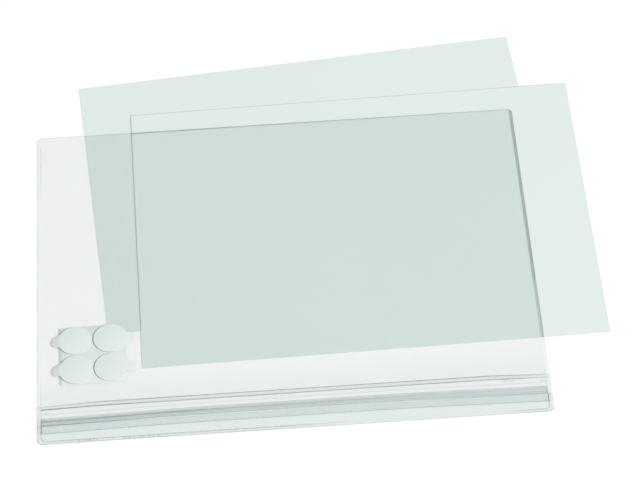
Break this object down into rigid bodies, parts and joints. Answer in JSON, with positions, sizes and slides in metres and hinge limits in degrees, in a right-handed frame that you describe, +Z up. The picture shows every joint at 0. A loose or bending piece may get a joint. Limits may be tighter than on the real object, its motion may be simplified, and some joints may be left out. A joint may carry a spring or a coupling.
{
  "type": "self-adhesive document pocket",
  "caption": "Flat clear film pocket with a press zip along its front, for landscape A4 sheets, with its documents and a card of round adhesive pads that fix it to a wall.",
  "frame": {"origin": "middle of the bounding box in X and Y, on the plane that the set lies on", "axes": "+X along the pocket's long side, +Y from its zip towards its top edge, +Z up out of the pocket's front"},
  "size_m": [0.3634, 0.3134, 0.0028],
  "materials": {
    "clear_film": "clear, smooth, with a faint cool green tint",
    "zip_plastic": "clear extruded plastic, glossy",
    "document_sheet": "smooth, matt, very pale green-grey",
    "release_card": "smooth coated card",
    "foam_pad": "fine closed foam",
    "cover_paper": "smooth, slightly glossy"
  },
  "bodies": {
    "root": {"rear_sheet": "document_sheet", "front_sheet": "document_sheet", "back_panel": "clear_film", "front_panel": "clear_film", "lower_front_strip": "clear_film", "zip_rib_track": "zip_plastic", "zip_channel_track": "zip_plastic", "release_card": "release_card", "adhesive_pad_1": "foam_pad", "pad_cover_1": "cover_paper", "adhesive_pad_2": "foam_pad", "pad_cover_2": "cover_paper", "adhesive_pad_3": "foam_pad", "pad_cover_3": "cover_paper", "adhesive_pad_4": "foam_pad", "pad_cover_4": "cover_paper"}
  },
  "joints": []
}
